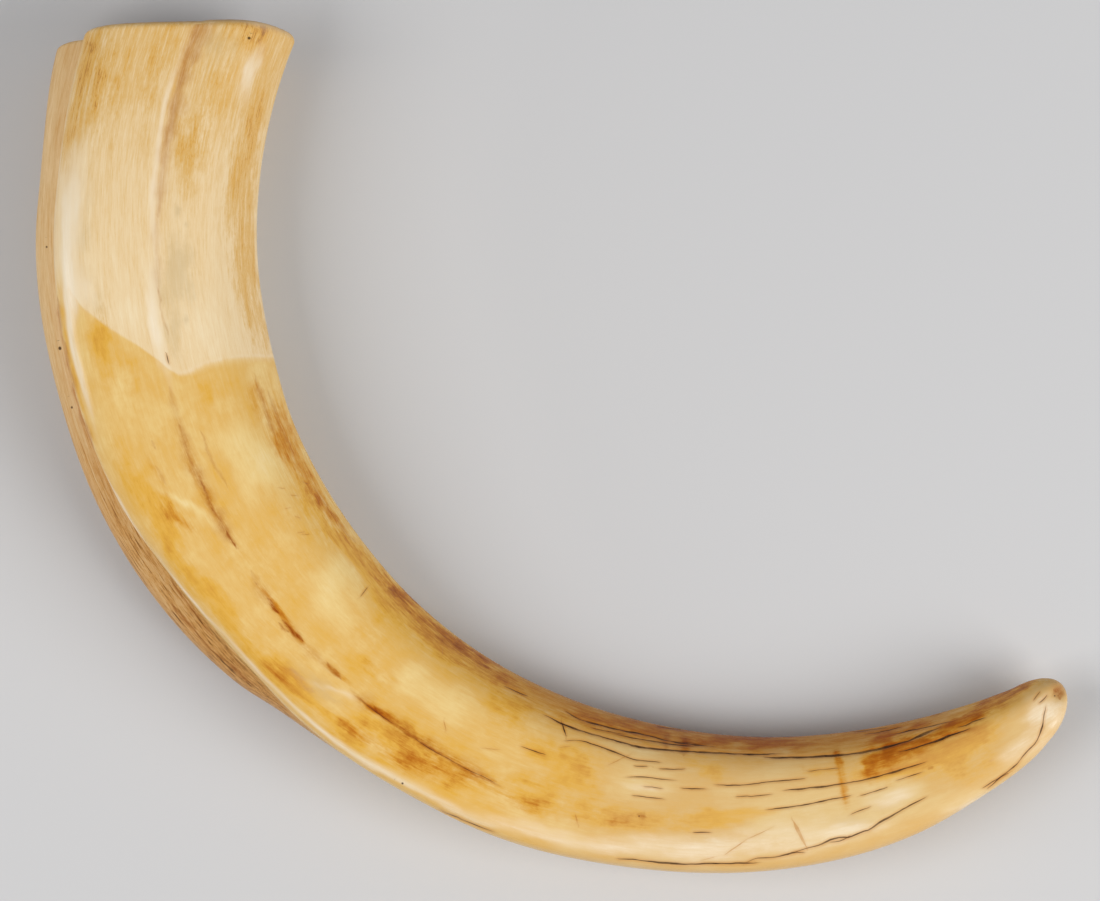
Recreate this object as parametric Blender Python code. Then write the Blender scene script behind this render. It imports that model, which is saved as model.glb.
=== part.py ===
"""A warthog's upper tusk, lying on its side as it would on a table. Metres, +Z up.

The tusk is one grown piece: a long horn of dentine that follows a circular arc, with a furrow down its
outer side, a shallow groove down its upper face, a cut root end with the open pulp cavity, and a worn tip.
Seen from above, the root end is at the top left, the belly of the curve at the lower left, the tip at the
lower right. The origin is the middle of the bounding box, on the surface that the tusk rests on.
"""

import math

import bmesh
import bpy
import numpy as np

MM = 0.001

# The spine, an arc about a centre; angles run anticlockwise from +X, seen from above.
SPINE_RADIUS = 131.3 * MM
ROOT_ANGLE = math.radians(161.0)
SPINE_LENGTH = 331.8 * MM

# Sections along the spine, in mm: distance from the root angle, reach of the inner edge towards the
# arc's centre, reach of the upper ridge and of the lower lobe away from it, and thickness.
SECTIONS = (
    # along, inner, ridge, lobe, thick
    (-14, 25.2, 19.6, 24.9, 36.5),
    (10, 25.2, 19.9, 25.6, 36.5),
    (32, 25.0, 20.2, 24.7, 36.5),
    (50, 24.7, 21.1, 25.6, 36.2),
    (80, 24.2, 21.0, 25.1, 35.0),
    (100, 23.2, 20.0, 24.9, 33.5),
    (120, 22.5, 17.4, 23.7, 31.6),
    (140, 21.6, 16.2, 21.3, 29.8),
    (157, 20.5, 17.0, 17.9, 28.4),
    (185, 19.0, 16.6, 16.5, 27.0),
    (200, 18.4, 16.8, 16.6, 26.3),
    (230, 17.0, 15.7, 15.6, 24.8),
    (262, 14.8, 14.9, 14.6, 22.8),
    (284, 13.0, 13.4, 13.2, 20.6),
    (304, 10.8, 10.1, 9.8, 17.6),
    (317, 9.0, 7.7, 7.5, 15.0),
    (324, 8.2, 5.4, 5.3, 13.4),
    (332, 8.5, 3.4, 3.4, 11.6),
)
ALONG, INNER, RIDGE, LOBE, THICK = range(5)

# A section is a superellipse, squarer towards the outer side, where the upper face meets the ridge.
SQUARENESS = 2.9
OUTER_SQUARENESS = 1.3

# The furrow down the outer side, between the upper ridge and the lower lobe.
FURROW_ANGLE = math.radians(13)
FURROW_SPREAD = math.radians(10)
FURROW_DEPTH = 0.17  # as a share of the section's reach
FURROW_FADES = 72 * MM, 205 * MM
LOBE_ANGLE = math.radians(-15)
LOBE_SPREAD = math.radians(24)

# The groove down the upper face: a line in plan that drifts outwards from root to tip, steep on its
# outer side and gentle on its inner side.
GROOVE_START = -5.8 * MM
GROOVE_DRIFT = 0.054
GROOVE_DEPTH = 0.95 * MM
GROOVE_STEEP = 1.7 * MM
GROOVE_GENTLE = 6.5 * MM
GROOVE_FADES = 5 * MM, 125 * MM

# The shallow furrow along the hidden underside, towards the inner edge.
UNDER_ANGLE = math.radians(214)
UNDER_SPREAD = math.radians(15)
UNDER_DEPTH = 0.06
UNDER_FADES = 100 * MM, 290 * MM

# The groove and the pit are cut only where the section looks up, from the first height to the second.
UPPER_SIDE = 0.2, 0.6

# Where it lies: two stretches touch the table, with a low arch between them, and the tip rises.
REST_BITE = 0.35 * MM
ARCH_FROM, ARCH_TO, ARCH_RISE = 62 * MM, 172 * MM, 1.2 * MM
TIP_RISE_FROM, TIP_RISE = 262 * MM, 6.5 * MM

# The cut across the root and the rounding of its rim.
CUT_Y = 44.4 * MM
CUT_LEAN = 0.17
CUT_STEP = 0.4 * MM
CUT_STEP_ACROSS = -7 * MM, -4 * MM
CUT_SKEW_LENGTH = 72 * MM
RIM_ROUND = 1.7 * MM
MOUTH_ROUND = 1.0 * MM
MOUTH_FLARE = 0.06

# The pulp cavity, open at the root.
CAVITY_WALL = 5.8 * MM
CAVITY_DEPTH = 84 * MM
CAVITY_POWER = 2.2

# The worn end of the tip, with the small pit where the pulp once reached.
TIP_CAP = 9 * MM
PIT_ALONG, PIT_ACROSS = 330.0 * MM, -2.0 * MM
PIT_RADIUS = 1.9 * MM
PIT_DEPTH = 0.8 * MM

# How finely the surface is faceted.
AROUND = 52
AROUND_BIAS = 0.42  # draws the facets towards the outer side, where the ridge, furrow and lobe are
RIM_STEPS = 3
SKIN_STEPS = 56
TIP_STEPS = 10
CAVITY_STEPS = 12
CAVITY_FIRST = 0.12
SMOOTH_ANGLE = math.radians(50)


def profile(column, along):
    """A smooth curve through one column of the sections, at the given distances along the spine."""
    table = np.array(SECTIONS, float) * MM
    at, value = table[:, ALONG], table[:, column]
    slope = np.gradient(value, at)
    along = np.clip(along, at[0], at[-1])
    i = np.clip(np.searchsorted(at, along, side="right") - 1, 0, len(at) - 2)
    gap = at[i + 1] - at[i]
    t = (along - at[i]) / gap
    start = (2 * t**3 - 3 * t**2 + 1) * value[i] + (t**3 - 2 * t**2 + t) * gap * slope[i]
    end = (3 * t**2 - 2 * t**3) * value[i + 1] + (t**3 - t**2) * gap * slope[i + 1]
    return start + end


def bump(angle, centre, spread):
    """A rounded swelling round the section, 1 at its centre."""
    away = (angle - centre + math.pi) % (2 * math.pi) - math.pi
    return np.exp(-((away / spread) ** 2))


def fade(along, start, end):
    """1 before start, 0 after end, and smooth between them."""
    t = np.clip((along - start) / (end - start), 0, 1)
    return 1 - t * t * (3 - 2 * t)


def superellipse(angle, power):
    """The point of a unit superellipse at an angle: (across, up)."""
    c, s = np.cos(angle), np.sin(angle)
    reach = (np.abs(c) ** power + np.abs(s) ** power) ** (-1 / power)
    return c * reach, s * reach


def rest_lift(along):
    """How far the underside stands off the table."""
    arch = np.clip((along - ARCH_FROM) / (ARCH_TO - ARCH_FROM), 0, 1)
    tip = np.clip((along - TIP_RISE_FROM) / (SPINE_LENGTH - TIP_RISE_FROM), 0, 1)
    return ARCH_RISE * np.sin(math.pi * arch) ** 2 + TIP_RISE * tip**2 - REST_BITE


def tip_cap(along):
    """Shrinks the sections to nothing over the rounded end."""
    t = np.clip((along - (SPINE_LENGTH - TIP_CAP)) / TIP_CAP, 0, 1)
    return np.sqrt(np.maximum(1 - t * t, 0))


def section(along, angle, inset=0.0):
    """The skin's (across, height) at a distance along the spine and an angle round the section."""
    inner, ridge, lobe = (profile(k, along) for k in (INNER, RIDGE, LOBE))
    half_width = (inner + ridge) / 2
    middle = (ridge - inner) / 2
    half_thick = profile(THICK, along) / 2
    across, up = superellipse(angle, SQUARENESS + OUTER_SQUARENESS * np.cos(angle))
    lobe_reach = superellipse(LOBE_ANGLE, SQUARENESS + OUTER_SQUARENESS * math.cos(LOBE_ANGLE))[0]
    lobe_swell = (lobe - middle) / (half_width * lobe_reach) - 1
    furrow = FURROW_DEPTH * fade(along, *FURROW_FADES)
    under = UNDER_DEPTH * fade(along, *UNDER_FADES)
    swell = 1 + lobe_swell * bump(angle, LOBE_ANGLE, LOBE_SPREAD)
    swell = swell - furrow * bump(angle, FURROW_ANGLE, FURROW_SPREAD)
    swell = swell - under * bump(angle, UNDER_ANGLE, UNDER_SPREAD)
    cap = tip_cap(along)
    out = middle + across * swell * (half_width * cap - inset)
    height = rest_lift(along) + half_thick + up * swell * (half_thick * cap - inset)
    upper = 1 - fade(up, *UPPER_SIDE)
    away = out - GROOVE_START - GROOVE_DRIFT * along
    reach = np.where(away > 0, GROOVE_STEEP, GROOVE_GENTLE)
    groove = GROOVE_DEPTH * fade(along, *GROOVE_FADES) * np.exp(-((away / reach) ** 2))
    pit_reach = ((along - PIT_ALONG) ** 2 + (out - PIT_ACROSS) ** 2) / PIT_RADIUS**2
    pit = PIT_DEPTH * np.exp(-pit_reach)
    return out, height - (groove + pit) * upper


def cavity_section(along, angle, share):
    """The pulp cavity's (across, height), shrunk to a share of its mouth."""
    half_width = (profile(INNER, along) + profile(RIDGE, along)) / 2
    middle = (profile(RIDGE, along) - profile(INNER, along)) / 2
    half_thick = profile(THICK, along) / 2
    across, up = superellipse(angle, CAVITY_POWER)
    out = middle + across * (half_width - CAVITY_WALL) * share
    return out, rest_lift(along) + half_thick + up * (half_thick - CAVITY_WALL) * share


def cut_along(out, height):
    """Where the root's leaning cut crosses the line of a point of the section."""
    step = CUT_STEP * fade(out, *CUT_STEP_ACROSS)
    y = CUT_Y + step + CUT_LEAN * (height - SECTIONS[0][THICK] * MM)
    angle = math.pi - np.arcsin(y / (SPINE_RADIUS + out))
    return (angle - ROOT_ANGLE) * SPINE_RADIUS


def root_skew(shape):
    """How far along the cut lies at each angle of a section shape, found by closing in on it."""
    along = np.zeros(AROUND)
    for _ in range(4):
        along = cut_along(*shape(along))
    return along


def place(along, out, height):
    """Points in space from distances along and across the spine."""
    angle = ROOT_ANGLE + along / SPINE_RADIUS
    radius = SPINE_RADIUS + out
    return np.stack([radius * np.cos(angle), radius * np.sin(angle), height], axis=-1)


def skin_rings(angle):
    """Rings of the outer skin, from the cut to just short of the tip."""
    skew = root_skew(lambda along: section(along, angle))
    rim = RIM_ROUND * (1 - np.cos(np.linspace(0, math.pi / 2, RIM_STEPS + 1)))
    body = np.linspace(RIM_ROUND, SPINE_LENGTH - TIP_CAP, SKIN_STEPS)[1:]
    tip = SPINE_LENGTH - TIP_CAP * (1 - np.sin(np.linspace(0, math.pi / 2, TIP_STEPS)[1:-1]))
    rings = []
    for from_cut in (*rim, *body, *tip):
        along = from_cut + skew * max(0, 1 - from_cut / CUT_SKEW_LENGTH) ** 2
        short = max(0, RIM_ROUND - from_cut)
        inset = RIM_ROUND - math.sqrt(max(0, RIM_ROUND**2 - short**2))
        out, height = section(along, angle, inset)
        rings.append(place(along, out, np.maximum(height, 0)))
    return rings


def cavity_rings(angle):
    """Rings of the pulp cavity, from near its blind end out to the cut."""
    skew = root_skew(lambda along: cavity_section(along, angle, 1))
    depths = CAVITY_DEPTH * (1 - np.linspace(CAVITY_FIRST, 1, CAVITY_STEPS) ** 2)
    rings = []
    for depth in (*depths[:-1], MOUTH_ROUND, MOUTH_ROUND / 3, 0):
        share = math.sqrt(1 - depth / CAVITY_DEPTH)
        flare = 1 + MOUTH_FLARE * max(0, 1 - depth / MOUTH_ROUND) ** 2
        along = depth + skew * max(0, 1 - depth / CUT_SKEW_LENGTH) ** 2
        out, height = cavity_section(along, angle, share * flare)
        rings.append(place(along, out, height))
    return rings


def extrude_rings(bm, rings):
    """Draws the first ring as a loop and extrudes it from ring to ring. Returns the first and last loops."""
    loop = [bm.verts.new(point) for point in rings[0]]
    edges = [bm.edges.new(pair) for pair in zip(loop, loop[1:] + loop[:1])]
    first = loop
    for ring in rings[1:]:
        made = bmesh.ops.extrude_edge_only(bm, edges=edges)["geom"]
        new = {v for v in made if isinstance(v, bmesh.types.BMVert)}
        loop = [next(e.other_vert(v) for e in v.link_edges if e.other_vert(v) in new) for v in loop]
        for vert, point in zip(loop, ring):
            vert.co = point
        edges = [bm.edges.get(pair) for pair in zip(loop, loop[1:] + loop[:1])]
    return first, loop


def close_end(bm, loop, point):
    """Fans a loop's edges to one end point."""
    cap = bm.faces.new(loop)
    middle = bmesh.ops.poke(bm, faces=[cap])["verts"][0]
    middle.co = point


def tusk_mesh():
    """The whole surface, from the cavity's blind end, round the rim, to the tip."""
    turn = np.linspace(0, 2 * math.pi, AROUND, endpoint=False)
    angle = turn - AROUND_BIAS * np.sin(turn)
    bm = bmesh.new()
    blind, tip = extrude_rings(bm, cavity_rings(angle) + skin_rings(angle))
    middle = (profile(RIDGE, CAVITY_DEPTH) - profile(INNER, CAVITY_DEPTH)) / 2
    core = rest_lift(CAVITY_DEPTH) + profile(THICK, CAVITY_DEPTH) / 2
    close_end(bm, blind, place(CAVITY_DEPTH, middle, core))
    out, height = section(np.array([SPINE_LENGTH]), np.array([0.0]))
    close_end(bm, tip, place(SPINE_LENGTH, out[0], height[0]))
    bmesh.ops.recalc_face_normals(bm, faces=bm.faces)
    low = np.min([v.co for v in bm.verts], axis=0)
    high = np.max([v.co for v in bm.verts], axis=0)
    centre = (low + high) / 2
    bmesh.ops.translate(bm, verts=bm.verts, vec=(-centre[0], -centre[1], 0))
    mesh = bpy.data.meshes.new("tusk")
    bm.to_mesh(mesh)
    bm.free()
    mesh.shade_smooth()
    mesh.set_sharp_from_angle(angle=SMOOTH_ANGLE)
    return mesh


def ivory():
    """Polished ivory, yellowed by age."""
    material = bpy.data.materials.new("ivory")
    material.use_nodes = True
    shader = material.node_tree.nodes["Principled BSDF"]
    shader.inputs["Base Color"].default_value = (0.78, 0.55, 0.25, 1)
    shader.inputs["Roughness"].default_value = 0.32
    shader.inputs["Metallic"].default_value = 0
    return material


def main():
    for old in list(bpy.data.objects):
        bpy.data.objects.remove(old)
    mesh = tusk_mesh()
    mesh.materials.append(ivory())
    bpy.context.scene.collection.objects.link(bpy.data.objects.new("tusk", mesh))


main()
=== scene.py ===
import math

import bpy
import numpy as np
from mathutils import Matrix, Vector


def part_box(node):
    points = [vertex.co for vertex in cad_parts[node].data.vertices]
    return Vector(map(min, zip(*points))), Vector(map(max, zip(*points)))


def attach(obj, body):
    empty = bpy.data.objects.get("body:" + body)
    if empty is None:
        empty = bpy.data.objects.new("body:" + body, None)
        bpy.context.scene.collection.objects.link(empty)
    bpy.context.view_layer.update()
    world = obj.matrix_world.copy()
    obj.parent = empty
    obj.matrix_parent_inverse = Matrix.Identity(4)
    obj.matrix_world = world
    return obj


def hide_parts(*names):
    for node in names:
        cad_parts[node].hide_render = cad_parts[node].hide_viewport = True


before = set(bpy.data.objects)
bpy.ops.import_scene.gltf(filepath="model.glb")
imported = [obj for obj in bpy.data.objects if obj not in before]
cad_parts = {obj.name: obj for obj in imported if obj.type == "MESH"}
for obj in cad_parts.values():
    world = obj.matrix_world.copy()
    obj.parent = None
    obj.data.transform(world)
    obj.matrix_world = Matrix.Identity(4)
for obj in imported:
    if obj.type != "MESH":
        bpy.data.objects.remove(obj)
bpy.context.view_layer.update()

mm = 0.001

# The camera comes first, because the marks are laid where it sees them.

view = {                                # straight above, in mm
    "eye": 1600,
    "sharp": 18,                        # the height at which the frame's width holds
    "frameWidth": 247.5,
    "aim": (-0.34, -0.405),
    "sensor": 36,
    "spineCentre": (39.85, 51.8),       # the tusk's own arc, as the camera sees it
    "spineRadius": 131.27,
}


class Value:
    # a socket in a shader or geometry tree; arithmetic on it adds Math nodes
    def __init__(self, tree, socket=None):
        self.tree, self.socket = tree, socket

    def node(self, kind, settings=None, inputs=None, output=0):
        made = self.tree.nodes.new(kind)
        for name, setting in (settings or {}).items():
            if name == "points":
                curve = made.mapping.curves[0]
                for place, point in enumerate(setting):
                    if place < 2:
                        curve.points[place].location = point
                    else:
                        curve.points.new(*point)
                made.mapping.update()
            elif name == "stops":
                stops = made.color_ramp.elements
                for place, (position, colour) in enumerate(setting):
                    stop = stops[place] if place < 2 else stops.new(position)
                    stop.position, stop.color = position, colour
            else:
                setattr(made, name, setting)
        for name, value in (inputs or {}).items():
            if isinstance(value, Value):
                self.tree.links.new(value.socket, made.inputs[name])
            else:
                made.inputs[name].default_value = value
        return Value(self.tree, made.outputs[output]) if made.outputs else None

    def maths(self, operation, *others):
        numbers = dict(enumerate((self, *others)))
        return self.node("ShaderNodeMath", {"operation": operation}, numbers)

    def __add__(self, other):
        return self.maths("ADD", other)

    def __sub__(self, other):
        return self.maths("SUBTRACT", other)

    def __mul__(self, other):
        return self.maths("MULTIPLY", other)

    def __truediv__(self, other):
        return self.maths("DIVIDE", other)

    def __pow__(self, other):
        return self.maths("POWER", other)

    def __neg__(self):
        return self.maths("MULTIPLY", -1)

    def __abs__(self):
        return self.maths("ABSOLUTE")

    def __rsub__(self, other):
        return (-self).maths("ADD", other)

    def __rtruediv__(self, other):
        return (self ** -1).maths("MULTIPLY", other)

    __radd__, __rmul__ = __add__, __mul__

    def clamped(self):
        return self.maths("MINIMUM", 1).maths("MAXIMUM", 0)

    def ramp(self, start, end):
        # rises smoothly from 0 at start to 1 at end
        smooth = {"interpolation_type": "SMOOTHSTEP"}
        return self.node("ShaderNodeMapRange", smooth, {0: self, 1: start, 2: end})

    def bell(self, centre, width):
        # 1 at the centre, and next to nothing two widths away
        return (((self - centre) / width) ** 2 * -1).maths("EXPONENT")

    def mix(self, other, share):
        # this where share is 0, other where it is 1
        return self + (other - self) * share

    def vector(self, y, z):
        return self.node("ShaderNodeCombineXYZ", None, {0: self, 1: y, 2: z})

    def parts(self):
        split = self.node("ShaderNodeSeparateXYZ", None, {0: self}).socket.node
        return [Value(self.tree, split.outputs[axis]) for axis in range(3)]

    def noise(self, scale, detail=2.0, rough=0.5, seed=0.0):
        # even noise about 0, from -1 to 1, in the vector's own units
        inputs = {"Vector": self, "W": seed, "Scale": scale, "Detail": detail, "Roughness": rough}
        return self.node("ShaderNodeTexNoise", {"noise_dimensions": "4D"}, inputs) * 2 - 1


# The form: a section swept along an arc, in mm, root at the top left and tip at the lower right.

tusk = {
    # the tree's inputs
    "sizes": {
        "Spine radius": 131.3,
        "Root angle": 161.0,            # degrees from +X
        "Length": 331.8,
        "Furrow depth": 0.17,           # a share of the section's reach
        "Under furrow depth": 0.06,
        "Groove depth": 0.95,
        "Pit depth": 0.8,
        "Rest bite": 0.35,
        "Arch rise": 1.2,
        "Tip rise": 6.5,
        "Tip cap": 9.0,
        "Cut place": 44.4,
        "Cut lean": 0.17,
        "Cut step": 0.4,
        "Rim round": 1.7,
        "Mouth round": 1.0,
        "Mouth flare": 0.06,
        "Cavity wall": 5.8,
        "Cavity depth": 84.0,
        "Undulation": 0.09,
        "Ripple": 0.04,
        "Face roughness": 0.10,
        "Top bias": 0.4,                # how much finer the columns are on the upper face
    },
    "counts": {"Columns": 208, "Face rows": 6, "Rim rows": 8, "Body rows": 352, "Tip rows": 20,
               "Cavity rows": 34, "Mouth rows": 4},
    # along the spine, reach of the inner edge, of the upper ridge and of the lower lobe, thickness
    "sections": (
        (-14, 25.2, 19.6, 24.9, 36.5),
        (10, 25.2, 19.9, 25.6, 36.5),
        (32, 25.0, 20.2, 24.7, 36.5),
        (50, 24.7, 21.1, 25.6, 36.2),
        (80, 24.2, 21.0, 25.1, 35.0),
        (100, 23.2, 20.0, 24.9, 33.5),
        (120, 22.5, 17.4, 23.7, 31.6),
        (140, 21.6, 16.2, 21.3, 29.8),
        (157, 20.5, 17.0, 17.9, 28.4),
        (185, 19.0, 16.6, 16.5, 27.0),
        (200, 18.4, 16.8, 16.6, 26.3),
        (230, 17.0, 15.7, 15.6, 24.8),
        (262, 14.8, 14.9, 14.6, 22.8),
        (284, 13.0, 13.4, 13.2, 20.6),
        (304, 10.8, 10.1, 9.8, 17.6),
        (317, 9.0, 7.7, 7.5, 15.0),
        (324, 8.2, 5.4, 5.3, 13.4),
        (332, 8.5, 3.4, 3.4, 11.6),
    ),
    "squareness": (2.9, 1.3),           # all round, and how much more on the outer side
    "furrow": (13, 10, 72, 205),        # degrees round, spread, where it fades from and to
    "underFurrow": (214, 15, 100, 290),
    "lobe": (-15, 24),
    "groove": (-5.8, 0.054, 5, 125),    # start across, drift, where it fades from and to
    "grooveSides": (1.7, 6.5),          # its steep outer side and its gentle inner one
    "pit": (330.0, -2.0, 1.9),          # along, across, radius
    "upperSide": (0.2, 0.6),            # the groove and pit are cut where the section looks up
    "cutStepAcross": (-7, -4),
    "arch": (62, 172),
    "tipRiseFrom": 262,
    "cutFade": 72,
    "cavityPower": 2.2,
    "faceEnds": (0.2, 1.4),             # radians round the rim, where the cut face turns into skin
    "curveTop": 40,                     # what 1 stands for on the curves of the section table
    # the relief's patterns: length, width and detail
    "relief": {"slow": (34, 17, 1.5), "ripple": (26, 2.6, 2.5), "rough": (1.6, 1.6, 3)},
    "rippled": (20, 120, 0.7, 0.5),     # the ripples fade from, to, by this much, to this much
    "rough": (1, 0.5),                  # the kind of skin that is rough, and how sharply
}


def profile(along, column):
    # a smooth curve through one column of the section table
    first, last, tall = tusk["sections"][0][0], tusk["sections"][-1][0], tusk["curveTop"]
    points = [((row[0] - first) / (last - first), row[column] / tall) for row in tusk["sections"]]
    share = ((along - first) / (last - first)).clamped()
    return along.node("ShaderNodeFloatCurve", {"points": points}, {"Value": share}) * tall


def superellipse(angle, power):
    c, s = angle.maths("COSINE"), angle.maths("SINE")
    reach = (abs(c) ** power + abs(s) ** power) ** (-1 / power)
    return c * reach, s * reach


def turnedFrom(angle, degrees):
    away = (angle - math.radians(degrees)).maths("WRAP", math.pi, -math.pi)
    return away * (180 / math.pi)


def restLift(along, size):
    start, end = tusk["arch"]
    arch = ((along - start) / (end - start)).clamped()
    tip = ((along - tusk["tipRiseFrom"]) / (size["Length"] - tusk["tipRiseFrom"])).clamped()
    rise = (arch * math.pi).maths("SINE") ** 2 * size["Arch rise"] + tip ** 2 * size["Tip rise"]
    return rise - size["Rest bite"]


def lobeWidest():
    # how far out the superellipse reaches at the lobe's own angle
    angle = math.radians(tusk["lobe"][0])
    power = tusk["squareness"][0] + tusk["squareness"][1] * math.cos(angle)
    spread = math.cos(angle) ** power + abs(math.sin(angle)) ** power
    return math.cos(angle) * spread ** (-1 / power)


def skinSection(along, angle, inset, size):
    # how far across and how high the skin is, at a distance along the spine and an angle round it
    inner, ridge, lobe, thick = (profile(along, column) for column in range(1, 5))
    halfWidth, middle, halfThick = (inner + ridge) / 2, (ridge - inner) / 2, thick / 2
    squareness, squarer = tusk["squareness"]
    across, up = superellipse(angle, angle.maths("COSINE") * squarer + squareness)
    lobeAngle, lobeSpread = tusk["lobe"]
    lobeSwell = (lobe - middle) / (halfWidth * lobeWidest()) - 1
    swell = 1 + lobeSwell * turnedFrom(angle, lobeAngle).bell(0, lobeSpread)
    for name, depth in (("furrow", "Furrow depth"), ("underFurrow", "Under furrow depth")):
        degrees, spread, start, end = tusk[name]
        fade = 1 - along.ramp(start, end)
        swell = swell - turnedFrom(angle, degrees).bell(0, spread) * fade * size[depth]
    toTip = ((along - size["Length"] + size["Tip cap"]) / size["Tip cap"]).clamped()
    cap = (1 - toTip ** 2).maths("MAXIMUM", 0) ** 0.5
    out = middle + across * swell * (halfWidth * cap - inset)
    height = restLift(along, size) + halfThick + up * swell * (halfThick * cap - inset)
    begin, drift, start, end = tusk["groove"]
    steep, gentle = tusk["grooveSides"]
    away = out - along * drift - begin
    groove = away.bell(0, gentle).mix(away.bell(0, steep), away.maths("GREATER_THAN", 0))
    pitAlong, pitAcross, pitRadius = tusk["pit"]
    pit = along.bell(pitAlong, pitRadius) * out.bell(pitAcross, pitRadius)
    lowered = groove * (1 - along.ramp(start, end)) * size["Groove depth"] + pit * size["Pit depth"]
    return out, height - lowered * up.ramp(*tusk["upperSide"])


def cavitySection(along, angle, share, size):
    inner, ridge, thick = (profile(along, column) for column in (1, 2, 4))
    across, up = superellipse(angle, tusk["cavityPower"])
    out = (ridge - inner) / 2 + across * ((inner + ridge) / 2 - size["Cavity wall"]) * share
    height = restLift(along, size) + thick / 2 + up * (thick / 2 - size["Cavity wall"]) * share
    return out, height


def cutAlong(out, height, size):
    # where the root's leaning cut crosses the line of a point of the section
    step = (1 - out.ramp(*tusk["cutStepAcross"])) * size["Cut step"]
    y = (height - tusk["sections"][0][4]) * size["Cut lean"] + step + size["Cut place"]
    angle = math.pi - (y / (out + size["Spine radius"])).maths("ARCSINE")
    return (angle - size["Root angle"] * (math.pi / 180)) * size["Spine radius"]


def skewed(fromCut, angle, section, size):
    # distance along the spine, counted from the leaning cut, which the section meets at each angle
    cut = angle * 0
    for _ in range(2):
        cut = cutAlong(*section(cut), size)
    return fromCut + cut * (1 - fromCut / tusk["cutFade"]).maths("MAXIMUM", 0) ** 2


def placed(along, out, height, size):
    angle = along / size["Spine radius"] + size["Root angle"] * (math.pi / 180)
    radius = out + size["Spine radius"]
    return (radius * angle.maths("COSINE") * mm).vector(radius * angle.maths("SINE") * mm, height * mm)


def sheet(bench, rows, columns, size):
    # a flat grid, with each point's row number and its angle round the section
    corners = {"Size X": rows, "Size Y": math.tau, "Vertices X": rows + 1, "Vertices Y": columns + 1}
    grid = bench.node("GeometryNodeMeshGrid", None, corners)
    x, turn, _ = bench.node("GeometryNodeInputPosition").parts()
    return grid, x + rows / 2, turn + turn.maths("COSINE") * size["Top bias"]


def shaped(grid, along, out, height, angle, kind, size):
    # moves the grid's points to their places and notes where they are on the tusk
    notes = {"spine": ("FLOAT_VECTOR", along.vector(out, height)),
             "section": ("FLOAT_VECTOR", angle.maths("COSINE").vector(angle.maths("SINE"), kind))}
    for name, (dataType, value) in notes.items():
        inputs = {"Geometry": grid, "Name": name, "Value": value}
        grid = grid.node("GeometryNodeStoreNamedAttribute", {"data_type": dataType}, inputs)
    place = placed(along, out, height, size)
    return grid.node("GeometryNodeSetPosition", None, {"Geometry": grid, "Position": place})


def skinSheet(bench, size):
    count = tusk["counts"]
    rows = count["Face rows"] + count["Rim rows"] + count["Body rows"] + count["Tip rows"]
    grid, row, angle = sheet(bench, rows, count["Columns"], size)
    faceShare = (row / count["Face rows"]).clamped()
    rimTurn = ((row - count["Face rows"]) / count["Rim rows"]).clamped() * (math.pi / 2)
    bodyShare = ((row - count["Face rows"] - count["Rim rows"]) / count["Body rows"]).clamped()
    tipTurn = ((row - rows + count["Tip rows"]) / count["Tip rows"]).clamped() * (math.pi / 2)
    body = size["Length"] - size["Rim round"] - size["Tip cap"]
    fromCut = (1 - rimTurn.maths("COSINE")) * size["Rim round"] + bodyShare * body
    fromCut = fromCut + tipTurn.maths("SINE") * size["Tip cap"]
    inset = (1 - rimTurn.maths("SINE")) * size["Rim round"]
    along = skewed(fromCut, angle, lambda a: skinSection(a, angle, 0, size), size)
    out, height = skinSection(along, angle, inset, size)
    # the first rows cross the cut face, from the cavity's mouth out to the rim
    mouth = mouthWidth(0, size)
    mouthAlong = skewed(angle * 0, angle, lambda a: cavitySection(a, angle, mouth, size), size)
    mouthOut, mouthHeight = cavitySection(mouthAlong, angle, mouth, size)
    along, out, height = (a.mix(b, faceShare) for a, b in
                          ((mouthAlong, along), (mouthOut, out), (mouthHeight, height)))
    return shaped(grid, along, out, height, angle, 1 - rimTurn.ramp(*tusk["faceEnds"]), size)


def mouthWidth(depth, size):
    # the cavity's width at a depth, as a share of its mouth's, with the mouth's edge rounded off
    share = (1 - depth / size["Cavity depth"]).maths("MAXIMUM", 0) ** 0.5
    edge = (1 - depth / size["Mouth round"]).maths("MAXIMUM", 0) ** 2
    return share * (edge * size["Mouth flare"] + 1)


def cavitySheet(bench, size):
    count = tusk["counts"]
    rows = count["Cavity rows"] + count["Mouth rows"]
    grid, row, angle = sheet(bench, rows, count["Columns"], size)
    inward = (row / count["Cavity rows"]).clamped()
    edge = ((row - count["Cavity rows"]) / count["Mouth rows"]).clamped()
    mouth = size["Mouth round"]
    depth = (size["Cavity depth"] - mouth) * (1 - inward ** 2) + (1 - edge) * mouth
    share = mouthWidth(depth, size)
    along = skewed(depth, angle, lambda a: cavitySection(a, angle, 1, size), size)
    out, height = cavitySection(along, angle, share, size)
    return shaped(grid, along, out, height, angle, 2, size)
def stretched(spine, along, across):
    # spine coordinates divided by a pattern's length and width, in mm
    a, b, c = spine.parts()
    return (a / along).vector(b / across, c / across)


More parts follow.
